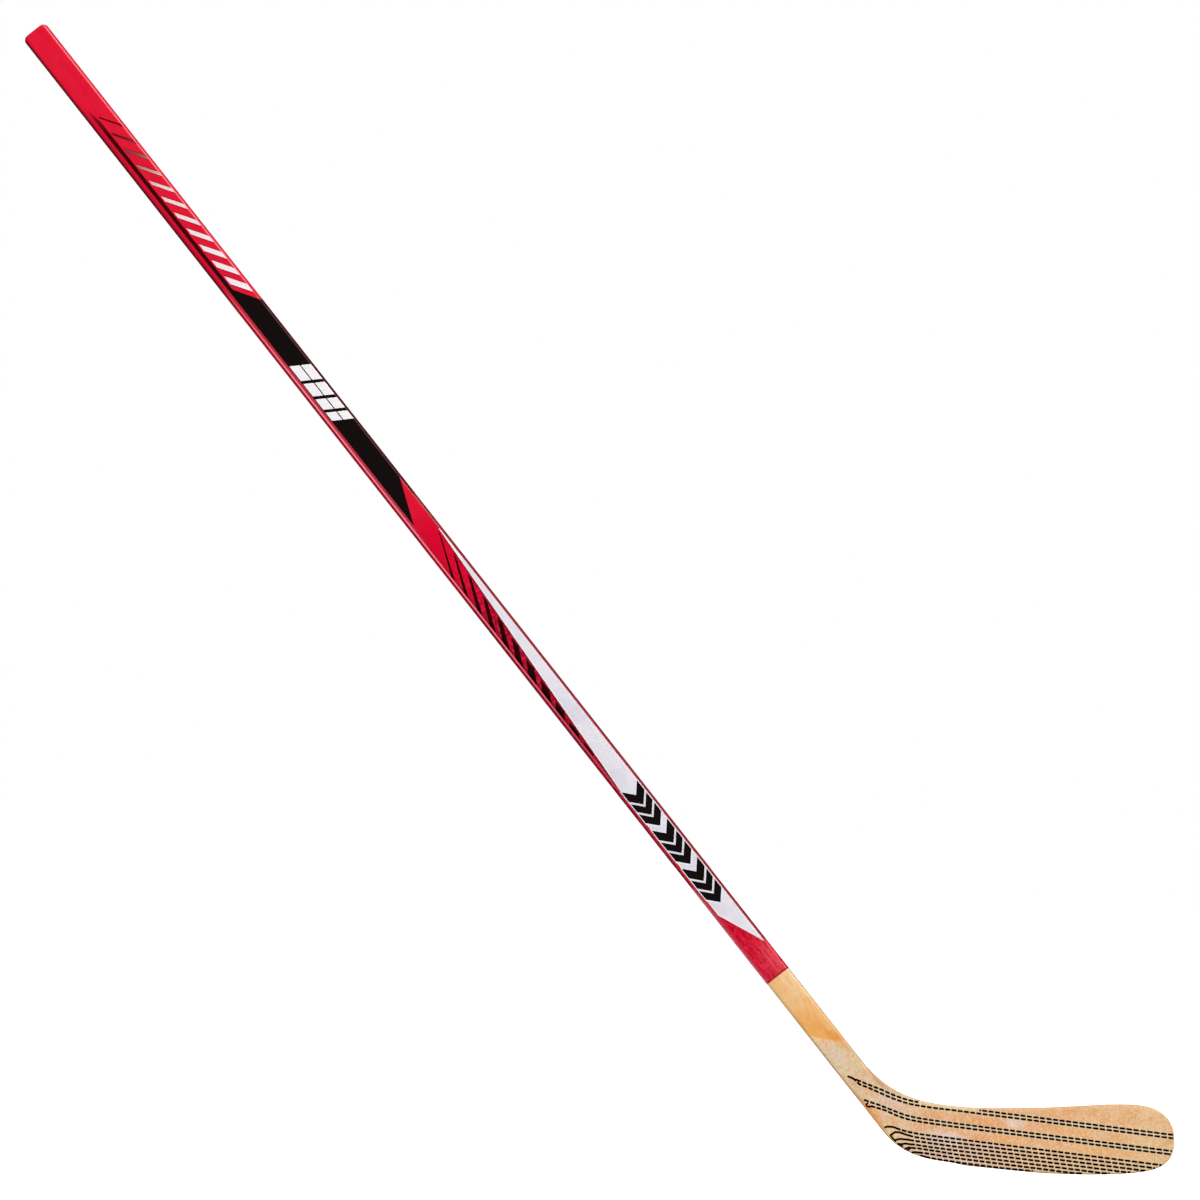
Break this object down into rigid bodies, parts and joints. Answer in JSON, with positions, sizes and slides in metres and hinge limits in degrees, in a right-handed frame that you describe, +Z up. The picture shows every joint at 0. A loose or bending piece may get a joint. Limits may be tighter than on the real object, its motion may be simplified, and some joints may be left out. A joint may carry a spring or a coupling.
{
  "type": "ice hockey stick",
  "caption": "Laminated wooden ice hockey stick: a lacquered rectangular shaft with a curved, cloth-covered wooden blade tongued into its forked end.",
  "frame": {"origin": "where the sole of the blade rests on the ice, halfway through its thickness", "axes": "+Z up from the ice, +X along the blade from the heel towards the toe, -Y the side that the blade curves towards"},
  "size_m": [1.3391, 0.0448, 1.1157],
  "materials": {
    "red_lacquer": "glossy lacquered film with printed black and silver graphics",
    "glass_laminate": "glass fibre and resin sheet, satin",
    "birch": "sanded veneer, sealed",
    "aspen": "pale laminated wood, sealed",
    "ash": "sanded and varnished",
    "glass_cloth": "woven glass cloth wetted out with resin over wood",
    "tracer_yarn": "dark yarn under clear resin"
  },
  "bodies": {
    "root": {"blade_board": "ash", "blade_cloth_back": "glass_cloth", "blade_cloth_front": "glass_cloth", "shaft_core_ply_back": "aspen", "shaft_core_ply_front": "aspen", "shaft_core_ply_middle": "aspen", "shaft_face_ply_back": "birch", "shaft_face_ply_front": "birch", "shaft_lacquer_coat": "red_lacquer", "shaft_laminate_back": "glass_laminate", "shaft_laminate_front": "glass_laminate", "tracer_yarn_back_01": "tracer_yarn", "tracer_yarn_back_02": "tracer_yarn", "tracer_yarn_back_03": "tracer_yarn", "tracer_yarn_back_04": "tracer_yarn", "tracer_yarn_back_05": "tracer_yarn", "tracer_yarn_back_06": "tracer_yarn", "tracer_yarn_back_07": "tracer_yarn", "tracer_yarn_back_08": "tracer_yarn", "tracer_yarn_back_09": "tracer_yarn", "tracer_yarn_back_10": "tracer_yarn", "tracer_yarn_back_11": "tracer_yarn", "tracer_yarn_back_12": "tracer_yarn", "tracer_yarn_front_01": "tracer_yarn", "tracer_yarn_front_02": "tracer_yarn", "tracer_yarn_front_03": "tracer_yarn", "tracer_yarn_front_04": "tracer_yarn", "tracer_yarn_front_05": "tracer_yarn", "tracer_yarn_front_06": "tracer_yarn", "tracer_yarn_front_07": "tracer_yarn", "tracer_yarn_front_08": "tracer_yarn", "tracer_yarn_front_09": "tracer_yarn", "tracer_yarn_front_10": "tracer_yarn", "tracer_yarn_front_11": "tracer_yarn", "tracer_yarn_front_12": "tracer_yarn"}
  },
  "joints": []
}
